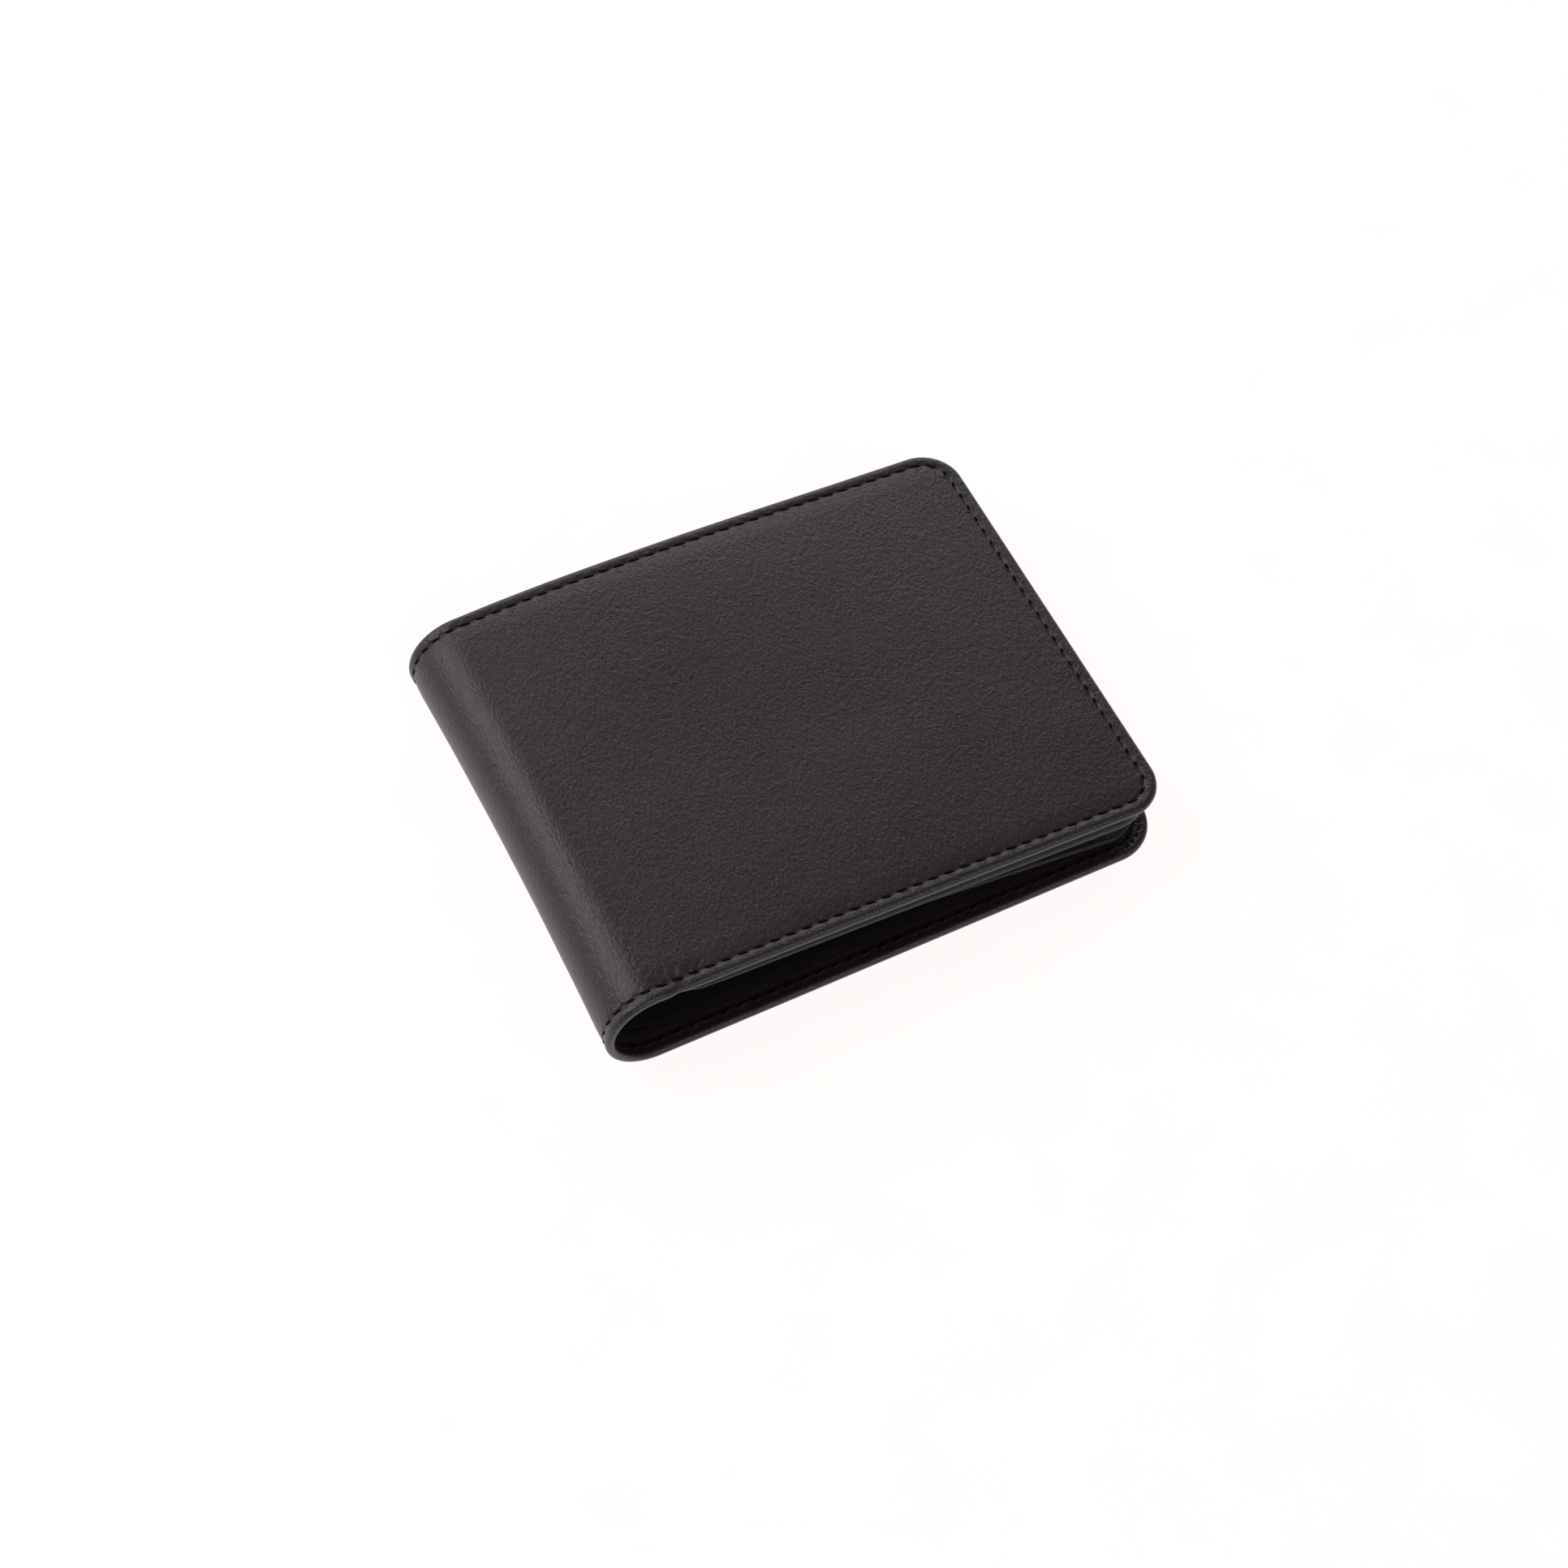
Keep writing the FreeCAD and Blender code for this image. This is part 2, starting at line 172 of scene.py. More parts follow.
# %% The gape of the bill compartment
mouth = joints["bill_mouth"]
CREASE = Vector(mouth["pos_m"])
CREASE_ALONG = Vector(mouth["axis"]).normalized()
CREASE_OUT = Vector((-CREASE_ALONG.y, CREASE_ALONG.x, 0))
LIFT = -math.radians(mouth["range_deg"][0])
TURN_BEFORE, TURN_AFTER = 3, 4  # the turn starts and ends this far from the crease
GAPE_FROM = CREASE - TURN_BEFORE * MM * CREASE_OUT
GAPE_TO = CREASE + TURN_AFTER * MM * CREASE_OUT
ROUNDS = 6


def gape(point):
    """A point of the flat back panel, with its free corner turned up."""
    reach = GAPE_TO - GAPE_FROM
    lifted = point
    for _ in range(ROUNDS):
        share = smooth(0, 1, (lifted - GAPE_FROM).dot(reach) / reach.length_squared)
        lifted = CREASE + Matrix.Rotation(LIFT * share, 3, CREASE_ALONG) @ (point - CREASE)
    return lifted


def fold_and_gape(s, y, depth):
    return gape(fold(s, y, depth))


print(f"the back panel's free corner turns up {math.degrees(LIFT):.1f} degrees")

# %% [markdown]
# ## Sheets
#
# Leather, lining and fabric are all thin slabs with round corners and soft edges. One helper makes them. It
# starts from two grids, one for each face, whose lines are close together near the edges and wider apart in
# the middle. `round_corner` pulls the grid's square corners in until its lines run parallel to the edge all
# the way round, which is what a hem and a seam do. The two faces meet in a half-round rim. A Solidify
# modifier would give the second face too, but here the faces differ: a seam dents one and a hem swells the
# other.

# %% Slab helper
ZONE = 13.0                     # size of the corner squares that are rounded


def ticks(low, high, step):
    """Evenly spaced places from low up to, but without, high."""
    count = max(1, round((high - low) / step))
    return [low + (high - low) * k / count for k in range(count)]


def round_corner(a, b, radius):
    """New distances from two edges for a point that is a and b from them."""
    inset, far = min(a, b), max(a, b)
    rho = max(radius - inset, 0.0)
    straight = ZONE - max(radius, inset)
    length = (ZONE - far) / (ZONE - inset) * (straight + rho * math.pi / 4)
    if rho == 0 or length <= straight:
        near, along = inset, ZONE - length
    else:
        turn = (length - straight) / rho
        near, along = radius - rho * math.cos(turn), radius - rho * math.sin(turn)
    return (near, along) if a <= b else (along, near)


def slab(us, vs, radii, outside, inside):
    """A closed sheet. radii are those of the corners at low u, for low and high v, and then at high u.
    outside and inside give each face's depth from u, v and the distance to the edge."""
    bm = bmesh.new()
    inset_layer = bm.verts.layers.float.new("inset")
    u0, u1, v0, v1 = us[0], us[-1], vs[0], vs[-1]
    rim = []
    for is_inside in (False, True):
        grid = bmesh.ops.create_grid(bm, x_segments=len(us) - 1, y_segments=len(vs) - 1, size=1)
        for vert in grid["verts"]:
            u = us[round((vert.co.x + 1) / 2 * (len(us) - 1))]
            v = vs[round((vert.co.y + 1) / 2 * (len(vs) - 1))]
            a, b = min(u - u0, u1 - u), min(v - v0, v1 - v)
            inset = min(a, b)
            if a < ZONE and b < ZONE:
                radius = radii[(2 if u1 - u < u - u0 else 0) + (1 if v1 - v < v - v0 else 0)]
                a, b = round_corner(a, b, radius)
                u = u0 + a if u - u0 < u1 - u else u1 - a
                v = v0 + b if v - v0 < v1 - v else v1 - b
            low, high = outside(u, v, inset), inside(u, v, inset)
            half = (high - low) / 2
            drop = half - math.sqrt(max(half * half - (half - min(inset, half)) ** 2, 0.0))
            vert.co = (u, v, high - drop if is_inside else low + drop)
            vert[inset_layer] = inset
            if inset < 1e-6:
                rim.append(vert)
    bmesh.ops.remove_doubles(bm, verts=rim, dist=1e-3)
    return bm


print("a corner point 0 and 2 mm in becomes", [round(c, 2) for c in round_corner(0, 2, FRONT_CORNER)])

# %% [markdown]
# ## From slab to object
#
# Each slab carries a UV map of where the point was on the flat sheet, so grain and weave follow the leather
# when it bends. The map is made before the folding, while the sheet's own x and y are still its cut.

# %% Flat map and placing
MAP_UNIT = 100                  # one unit of the flat map, in mm


def flat_map(bm):
    """The UV map of the flat sheet, made before folding."""
    uv = bm.loops.layers.uv.new("flat")
    for face in bm.faces:
        for loop in face.loops:
            loop[uv].uv = loop.vert.co.x / MAP_UNIT, loop.vert.co.y / MAP_UNIT


def settle(bm, place):
    """Moves a flat bmesh to its place, with its faces outwards."""
    for vert in bm.verts:
        vert.co = place(*vert.co)
    bmesh.ops.recalc_face_normals(bm, faces=bm.faces)
    bm.normal_update()


def finished(name, bm, material):
    """An object at the origin, from a mesh already in place."""
    mesh = bpy.data.meshes.new(name)
    bm.to_mesh(mesh)
    mesh.shade_smooth()
    mesh.materials.append(material)
    if "whole_normal" in mesh.attributes:
        normals = [tuple(item.vector) for item in mesh.attributes["whole_normal"].data]
        mesh.normals_split_custom_set_from_vertices(normals)
        mesh.attributes.remove(mesh.attributes["whole_normal"])
    piece = bpy.data.objects.new(name, mesh)
    bpy.context.scene.collection.objects.link(piece)
    return piece


print("a map unit is", MAP_UNIT, "mm of leather")

# %% [markdown]
# A sheet that crosses the spine moves with five bodies, and one blend joins only two. The cuts are closed,
# which makes each a solid of its own. Their shading normals are taken from the uncut sheet, so the cuts don't
# show.

# %% Cuts across the spine
LINKS = ["back_leaf", "spine_lower", "spine_middle", "spine_upper", "front_leaf"]
ENDINGS = ["back", "spine_low", "spine_high", "front"]
STRIP = RADIUS * STEP           # leather from the middle of one strip to the middle of the next


def nodes_of_cuts(on_leaf, on_strip):
    """The CAD nodes that a layer's four cuts stand for. The back cut takes the lowest strip's too."""
    return ([f"back_{on_leaf}", f"spine_lower_{on_strip}"], [f"spine_middle_{on_strip}"],
            [f"spine_upper_{on_strip}"], [f"front_{on_leaf}"])


def link_of(s):
    """Which cut of the cover a point of the flat wallet is in."""
    return max(0, min(len(ENDINGS) - 1, int(s // STRIP)))


def bend_between(piece, number, depth):
    """Bends a cut between its two bodies. The cuts run towards the middle of the spine, so the bend keeps
    clear of them by more on a deeper layer, and neighbours stay joined."""
    start, end = (fold(STRIP * k, 0, 0) for k in (number, number + 1))
    clear = (end - start).normalized() * depth * MM * math.sin(STEP / 2)
    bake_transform(piece, LINKS[number], LINKS[number + 1], start=start + clear, end=end - clear)


def close_cut(part):
    """Closes a cut's open ends, so that it is a solid sheet."""
    uv = part.loops.layers.uv["flat"]
    open_edges = [edge for edge in part.edges if edge.is_boundary]
    caps = bmesh.ops.holes_fill(part, edges=open_edges, sides=0)["faces"]
    for cap in caps:
        if cap.loops[0].link_loop_radial_next.vert == cap.loops[0].vert:
            cap.normal_flip()
        for loop in cap.loops:
            beside = next(other for other in loop.vert.link_loops if other.face not in caps)
            loop[uv].uv = beside[uv].uv


def across_spine(name, bm, material, nodes):
    """Cuts a flat slab at the middle of each strip, folds the cuts and gives each its two bodies."""
    flat_map(bm)
    cut_of = bm.faces.layers.int.new("cut")
    normal = bm.verts.layers.float_vector.new("whole_normal")
    for face in bm.faces:
        face[cut_of] = link_of(face.calc_center_median().x)
    depth = max(vert.co.z for vert in bm.verts if 0 < vert.co.x < ARC)
    settle(bm, fold)
    for vert in bm.verts:
        vert[normal] = vert.normal
    pieces = []
    for number, ending in enumerate(ENDINGS):
        part = bm.copy()
        layer = part.faces.layers.int["cut"]
        others = [face for face in part.faces if face[layer] != number]
        bmesh.ops.delete(part, geom=others, context="FACES")
        close_cut(part)
        piece = finished(f"{name}_{ending}", part, material)
        bend_between(piece, number, depth)
        pieces.append(piece)
        part.free()
    bm.free()
    for piece, replaced in zip(pieces, nodes):
        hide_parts(*replaced)
    print(name, [len(piece.data.polygons) for piece in pieces], "faces")
    return pieces


print(f"a cut in the spine has {STRIP:.2f} mm of leather")

# %% [markdown]
# ## Leather
#
# The leather is smooth calf: a fine pebble that you feel more than see, faint streaks where it was rolled,
# and a slightly uneven black with a breath of aubergine. Where fingers and pockets rub it, along the rims,
# the finish is thinner, greyer and shinier. Inside, the pleats of the turned edge get that greyer colour on
# their ridges and keep the darker body in their valleys, which is painted shade. The grain is bump, not
# geometry, because it is a tenth of a millimetre deep. The seam's pull is bump too: an attribute holds each
# point's distance along the seam, so the leather can pucker once for every stitch, and the leather under each
# stitch is darkened as painted shade in its pit.

# %% Node helpers
def new_material(name):
    """A material with its node tree and shader, and a function that adds a node and links its inputs."""
    material = bpy.data.materials.new(name)
    material.use_nodes = True
    tree = material.node_tree
    shader = tree.nodes["Principled BSDF"]

    def node(kind, inputs=None, **settings):
        made = tree.nodes.new(kind)
        for key, value in settings.items():
            setattr(made, key, value)
        for key, value in (inputs or {}).items():
            if isinstance(value, bpy.types.NodeSocket):
                tree.links.new(value, made.inputs[key])
            else:
                made.inputs[key].default_value = value
        return made

    return material, tree, shader, node


def ramp(node, factor, *stops):
    """A colour ramp with (position, colour) stops."""
    made = node("ShaderNodeValToRGB", {"Fac": factor})
    elements = made.color_ramp.elements
    while len(elements) < len(stops):
        elements.new(0.5)
    for element, (position, colour) in zip(elements, stops):
        element.position = position
        element.color = (*colour, 1) if len(colour) == 3 else colour
    return made.outputs["Color"]


def scalar(node, operation, *values):
    """One step of arithmetic on numbers or sockets."""
    made = node("ShaderNodeMath", dict(enumerate(values)), operation=operation)
    return made.outputs[0]


def blend_colours(node, factor, first, second):
    """A colour mix; first and second are sockets or (r, g, b)."""
    first, second = ((*c, 1) if isinstance(c, tuple) else c for c in (first, second))
    return node("ShaderNodeMix", {0: factor, 6: first, 7: second}, data_type="RGBA").outputs[2]


def noisy(node, place, scale, detail=2.0):
    """The grey value of a noise texture."""
    return node("ShaderNodeTexNoise", {"Vector": place, "Scale": scale, "Detail": detail}).outputs["Fac"]


print("node helpers are ready")

# %% [markdown]
# Four noises at four scales make the hide: clouds a few centimetres wide, a mottle of a millimetre, pores,
# and streaks that are stretched along the sheet. A Voronoi texture adds the pebble. One function makes both
# leathers, and only the cover puckers at its seam, with painted shade under each stitch.

# %% Leather material
# Colour of the painted shade in the pit under each stitch.
STITCH_PIT_SHADE = (0.003, 0.0025, 0.003)


def leather(name, dark, light, worn_and_ridge_colour, rough, specular, seam_puckered_and_shaded=False):
    """Black leather. dark and light are its uneven body; the third colour is where it is rubbed, and the pleats'
    ridges, whose darker valleys are painted shade.
    """
    material, tree, shader, node = new_material(name)
    flat = node("ShaderNodeUVMap", uv_map="flat").outputs["UV"]
    rolled = node("ShaderNodeMapping", {"Vector": flat, "Scale": (1.0, 0.36, 1.0)}).outputs["Vector"]
    cloud = noisy(node, flat, 7.0, 4.0)
    mottle = noisy(node, flat, 110.0, 3.0)
    streak = noisy(node, rolled, 200.0, 3.0)
    pebble = node("ShaderNodeTexVoronoi", {"Vector": flat, "Scale": 210.0},
                  feature="SMOOTH_F1").outputs["Distance"]
    pores = noisy(node, flat, 620.0)

    clouds, mottles = scalar(node, "MULTIPLY", cloud, 0.45), scalar(node, "MULTIPLY", mottle, 0.55)
    uneven = scalar(node, "ADD", clouds, mottles)
    body = ramp(node, uneven, (0.32, dark), (0.68, light))
    # The attribute read here is wear along the rims, and painted shade between the pleats of the turned edge.
    wear_and_pleat_shade = node("ShaderNodeAttribute", attribute_name="wear_and_pleat_shade").outputs["Fac"]
    patchy_wear_and_shade = scalar(node, "MULTIPLY", wear_and_pleat_shade, scalar(node, "MULTIPLY_ADD", mottle, 1.2, 0.2))
    colour = blend_colours(node, patchy_wear_and_shade, body, worn_and_ridge_colour)

    gloss = scalar(node, "MULTIPLY_ADD", streak, 0.16, rough - 0.08)
    gloss = scalar(node, "MULTIPLY_ADD", patchy_wear_and_shade, -0.06, gloss)
    tree.links.new(scalar(node, "MULTIPLY_ADD", cloud, 0.06, gloss), shader.inputs["Roughness"])
    shader.inputs["Specular IOR Level"].default_value = specular

    height = scalar(node, "MULTIPLY", pebble, 0.6)
    height = scalar(node, "MULTIPLY_ADD", pores, 0.4, height)
    height = scalar(node, "MULTIPLY_ADD", streak, 1.2, height)
    bump = node("ShaderNodeBump", {"Height": height, "Strength": 0.55, "Distance": 0.00022})
    if seam_puckered_and_shaded:
        along = node("ShaderNodeAttribute", attribute_name="seam_along").outputs["Fac"]
        pull = node("ShaderNodeAttribute", attribute_name="seam_pull").outputs["Fac"]
        wave = scalar(node, "COSINE", scalar(node, "MULTIPLY", along, 2 * math.pi))
        pucker = scalar(node, "MULTIPLY", wave, pull)
        bump = node("ShaderNodeBump", {"Height": pucker, "Strength": 0.45, "Distance": 0.00015,
                                       "Normal": bump.outputs["Normal"]})
        # Painted shade: the leather is darkened under each stitch, where it sinks into the seam.
        pit_shade = scalar(node, "MULTIPLY", scalar(node, "POWER", pull, 3.0),
                     scalar(node, "MULTIPLY_ADD", wave, -0.5, 0.35))
        colour = blend_colours(node, scalar(node, "MAXIMUM", pit_shade, 0.0), colour, STITCH_PIT_SHADE)
    tree.links.new(colour, shader.inputs["Base Color"])
    tree.links.new(bump.outputs["Normal"], shader.inputs["Normal"])
    return material


cover_leather = leather("cover_leather", (0.0165, 0.0080, 0.0148), (0.0230, 0.0125, 0.0205),
                        (0.024, 0.022, 0.028), 0.33, 0.5, seam_puckered_and_shaded=True)
panel_leather = leather("panel_leather", (0.0130, 0.0095, 0.0122), (0.0180, 0.0135, 0.0170),
                        (0.017, 0.016, 0.020), 0.50, 0.22)
print(cover_leather.name, len(cover_leather.node_tree.nodes), "nodes")

# %% [markdown]
# ## Cloth, thread and board
#
# The lining and the bill divider are a thin twill. Its ribs are a wave across the flat map, broken up by
# noise so that no rib is perfectly straight. The thread is waxed polyester of three plies, so each stitch
# has a few slanting ridges. The boards are grey-brown card, seen only if the cover were cut. All are dull,
# and each takes its colour and its bump from one grey shade.

# %% Cloth, thread and board materials
def matt(material, shade, stops, relief, roughness, specular):
    """Finishes a material that has one shade for its colour and its bump."""
    name, tree, shader, node = material
    tree.links.new(ramp(node, shade, *stops), shader.inputs["Base Color"])
    bump = node("ShaderNodeBump", {"Height": shade, "Strength": relief, "Distance": 0.0001})
    tree.links.new(bump.outputs["Normal"], shader.inputs["Normal"])
    shader.inputs["Roughness"].default_value = roughness
    shader.inputs["Specular IOR Level"].default_value = specular
    return name


def twill(name, dark, light, ribs):
    """Thin black cloth with slanting ribs."""
    material = new_material(name)
    node = material[-1]
    flat = node("ShaderNodeUVMap", uv_map="flat").outputs["UV"]
    weave = node("ShaderNodeTexWave", {"Vector": flat, "Scale": ribs, "Distortion": 0.6, "Detail": 1.0,
                                       "Detail Scale": 3.0}, bands_direction="DIAGONAL").outputs["Fac"]
    fuzz = scalar(node, "MULTIPLY", noisy(node, flat, 260.0, 3.0), 0.4)
    shade = scalar(node, "MULTIPLY_ADD", weave, 0.6, fuzz)
    return matt(material, shade, ((0.25, dark), (0.75, light)), 0.5, 0.82, 0.2)


def waxed_thread(name):
    """Black thread whose plies run slanting across each stitch."""
    material = new_material(name)
    node = material[-1]
    place = node("ShaderNodeTexCoord").outputs["Object"]
    ply = node("ShaderNodeTexWave", {"Vector": place, "Scale": 900.0, "Distortion": 1.5},
               bands_direction="DIAGONAL").outputs["Fac"]
    fuzz = scalar(node, "MULTIPLY", noisy(node, place, 4000.0), 0.3)
    shade = scalar(node, "MULTIPLY_ADD", ply, 0.7, fuzz)
    stops = (0.2, (0.0015, 0.0014, 0.0016)), (0.8, (0.006, 0.0055, 0.0065))
    return matt(material, shade, stops, 0.6, 0.85, 0.08)


def card_board(name):
    """Grey-brown pulp."""
    material = new_material(name)
    node = material[-1]
    pulp = noisy(node, node("ShaderNodeUVMap", uv_map="flat").outputs["UV"], 180.0, 5.0)
    stops = (0.35, (0.13, 0.11, 0.085)), (0.65, (0.22, 0.19, 0.15))
    return matt(material, pulp, stops, 0.4, 0.9, 0.5)


lining_cloth = twill("lining_cloth", (0.003, 0.0028, 0.0034), (0.008, 0.0075, 0.009), 90.0)
divider_cloth = twill("divider_cloth", (0.004, 0.0038, 0.0044), (0.010, 0.0095, 0.011), 70.0)
thread = waxed_thread("thread")
board = card_board("board")
print("cloth, thread and board are ready")

# %% [markdown]
# ## The seam's path
#
# One seam runs round the whole cover. It is a loop of four straight lines and four quarter circles on the
# flat leather. A Bezier curve with stitches spread along it by an Array modifier would do on a flat piece,
# but here two things ask about the seam: walking along it gives every stitch its place, and looking up the
# nearest place on it tells the leather where to pucker.

# %% Seam path
SEAM = 2.5                      # the seam's distance from the edge
STITCH_PITCH = 3.2
QUARTER = math.pi / 2
FAR_OFF = 1e8


class Seam:
    """A loop round a flat rectangle, inset from its edge. A leg is (start, direction, length, bend radius)."""

    def __init__(self, u0, u1, v0, v1, low_corner, high_corner, inset):
        a, b = max(low_corner, inset), max(high_corner, inset)
        rb, rf = a - inset, b - inset
        self.legs = [
            (Vector((u0 + a, v0 + inset)), 0.0, u1 - u0 - a - b, 0.0),
            (Vector((u1 - b, v0 + inset)), 0.0, QUARTER * rf, rf),
            (Vector((u1 - inset, v0 + b)), QUARTER, v1 - v0 - 2 * b, 0.0),
            (Vector((u1 - inset, v1 - b)), QUARTER, QUARTER * rf, rf),
            (Vector((u1 - b, v1 - inset)), math.pi, u1 - u0 - a - b, 0.0),
            (Vector((u0 + a, v1 - inset)), math.pi, QUARTER * rb, rb),
            (Vector((u0 + inset, v1 - a)), 3 * QUARTER, v1 - v0 - 2 * a, 0.0),
            (Vector((u0 + inset, v0 + a)), 3 * QUARTER, QUARTER * rb, rb),
        ]
        self.length = sum(leg[2] for leg in self.legs)

    def at(self, along):
        """Point and direction a distance along the seam."""
        for start, heading, length, radius in self.legs:
            if along <= length:
                break
            along -= length
        if radius == 0:
            return start + along * Vector((math.cos(heading), math.sin(heading))), heading
        turn = along / radius
        centre = start + radius * Vector((-math.sin(heading), math.cos(heading)))
        heading += turn
        return centre + radius * Vector((math.sin(heading), -math.cos(heading))), heading

    def nearest(self, u, v):
        """Distance along the seam of the place nearest to a point, and how far off it the point is."""
        best = (2 * FAR_OFF, 0.0)
        before = 0.0
        point = Vector((u, v))
        for start, heading, length, radius in self.legs:
            if radius == 0:
                along = (point - start).dot(Vector((math.cos(heading), math.sin(heading))))
                along = max(0.0, min(length, along))
                place = start + along * Vector((math.cos(heading), math.sin(heading)))
                away = (point - place).length
            else:
                centre = start + radius * Vector((-math.sin(heading), math.cos(heading)))
                out = point - centre
                turn = (math.atan2(out.y, out.x) + QUARTER - heading) % (4 * QUARTER)
                turn = turn if turn < QUARTER else (0.0 if turn > 2.5 * QUARTER else QUARTER)
                along, away = turn * radius, abs(out.length - radius)
                if turn in (0.0, QUARTER):
                    away = FAR_OFF
            if away < best[0]:
                best = (away, before + along)
            before += length
        return best[1], best[0]


cover_seam = Seam(-BACK, ARC + FRONT, -HALF, HALF, BACK_CORNER, FRONT_CORNER, SEAM)
print(f"the cover's seam is {cover_seam.length:.0f} mm, {cover_seam.length / STITCH_PITCH:.0f} stitches")

# %% [markdown]
# ## The cover
#
# The cover's edge is leather turned in over itself, so it is thick, soft and round. The seam presses a
# channel into it and leaves a slight roll outside. Inside the wallet the turned edge shows: gathered into
# pleats round each corner, and wrinkled where it is squeezed inside the spine. At the bill opening, where the
# inner panel starts, the front cover has a small dent with a few creases running from it. Sculpting could
# make all this by hand. Sums of a few bell curves are easier to place to a tenth of a millimetre.

# %% Cover faces
NOTCH_S = ARC + PANEL_START + 0.2                  # where the dent is along the cover
PLEATS = 7
WRINKLE = 1.2                                      # pitch of the wrinkles inside the spine


def bell(x, width):
    """1 at nought, falling off smoothly on both sides."""
    return math.exp(-(x / width) ** 2)


def rough_noise(u, v, size, seed=0.0):
    """A smooth irregular value of about -1 to 1, with bumps of a size in mm."""
    return noise.noise(Vector((u / size, v / size, seed)))


def in_spine(u, reach):
    """1 round the spine, easing to nought on the leaves."""
    return smooth(-reach, reach, u) * (1 - smooth(ARC - reach, ARC + reach, u))


def crease(u, v, start, end, width):
    """1 on the line from start to end, fading out across it and towards its far end."""
    line = end - start
    t = (Vector((u, v)) - start).dot(line) / line.length_squared
    if not -0.1 < t < 1.1:
        return 0.0
    away = (Vector((u, v)) - start - t * line).length
    return bell(away, width) * smooth(-0.1, 0.1, t) * (1 - smooth(0.5, 1.1, t))


NOTCH_CREASES = [(Vector((NOTCH_S + at, -HALF + 2.2)), Vector((NOTCH_S + at + lean, -HALF + reach)))
                 for at, lean, reach in ((-2.2, -1.8, 4.6), (-1.1, -0.6, 5.8), (0.1, 0.5, 5.0),
                                         (1.2, -0.9, 6.2), (2.4, 1.9, 5.2), (3.7, 2.2, 4.4))]


def cover_outside(u, v, inset):
    """Depth of the cover's outer face. Less than nothing stands proud, which the back leaf can't."""
    depth = 0.15 * bell(inset - SEAM, 0.26) + 0.08 * bell(inset - SEAM, 0.9)
    proud = 0.07 * bell(inset - 1.2, 0.6) + 0.10 * smooth(3.2, 6.5, inset) + 0.05 * rough_noise(u, v, 16)
    depth -= proud * smooth(0.0, 6.0, u)
    if abs(u - NOTCH_S - 2) < 12 and v < -HALF + 10:
        depth += 0.38 * bell(u - NOTCH_S, 1.7) * (1 - smooth(0.5, 3.5, inset))
        depth += sum(0.20 * crease(u, v, start, end, 0.34) for start, end in NOTCH_CREASES)
    return max(depth, 0.0) if u < 0 else depth


def pleat(u, v, inset, low, high, radius):
    """Height of the gathers where the turned edge goes round a corner."""
    du = min(u - low, high - u) - radius
    dv = min(v + HALF, HALF - v) - radius
    if du > -0.2 or dv > -0.2:
        return 0.0
    angle = math.atan2(-dv, -du) / (math.pi / 2)
    lean = 0.6 * rough_noise(angle * 3, inset, 2.0, 5.0)
    wave = 0.5 + 0.5 * math.cos(2 * math.pi * (PLEATS * angle + 0.4 * lean))
    ends = smooth(0.02, 0.12, angle), smooth(0.02, 0.12, 1 - angle)
    return wave ** 0.6 * smooth(1.2, 2.0, inset) * ends[0] * ends[1]


def cover_inside(u, v, inset):
    """Depth of the cover's inner face, which is the turned edge near the rim."""
    depth = COVER + 0.12 * bell(inset - SEAM, 0.35) - 0.16 * bell(inset - SEAM - 0.9, 0.4)
    depth += 0.10 * rough_noise(u, v, 5, 2.0) * smooth(1.5, 3.5, inset)
    radius = BACK_CORNER if u < 0 else FRONT_CORNER
    depth -= 0.60 * pleat(u, v, inset, -BACK, ARC + FRONT, radius)
    squeezed = in_spine(u, 4) * smooth(1.0, 2.5, inset)
    squeezed *= 1 - smooth(7.0, 9.0, inset)
    wrinkles = math.sin(2 * math.pi * (u + 0.5 * rough_noise(u, v, 3)) / WRINKLE)
    depth -= 0.16 * squeezed * (0.5 + 0.5 * wrinkles)
    return depth


print(f"the dent is {PANEL_START + 0.2:.1f} mm beyond the spine")


# %% [markdown]
# The grid's lines are close where the shape is fine: at the rim, on both sides of the seam, round the spine
# and beside the dent. The leather is marked with what its material needs, while it is still flat: where it is
# rubbed, where the pleats' valleys take painted shade, where each point is along the seam, and how hard the
# seam pulls it.

# %% Cover
edge = [0.0, 0.065, 0.25, 0.53, 0.85, 1.2, 1.6, 1.95, 2.2, 2.35, 2.5, 2.65, 2.8, 3.05, 3.4, 3.9]
edge += ticks(4.5, ZONE, 0.35)
cover_us = [-BACK + t for t in edge] + ticks(-BACK + ZONE, 0, 1.0) + ticks(0, ARC, ARC / 80)
cover_us += ticks(ARC, ARC + 14, 0.4) + ticks(ARC + 14, ARC + FRONT - ZONE, 1.0)
cover_us += [ARC + FRONT - ZONE] + [ARC + FRONT - t for t in reversed(edge)]
cover_vs = [-HALF + t for t in edge] + ticks(-HALF + ZONE, HALF - ZONE, 1.0)
cover_vs += [HALF - ZONE] + [HALF - t for t in reversed(edge)]

cover = slab(cover_us, cover_vs, (BACK_CORNER, BACK_CORNER, FRONT_CORNER, FRONT_CORNER),
             cover_outside, cover_inside)


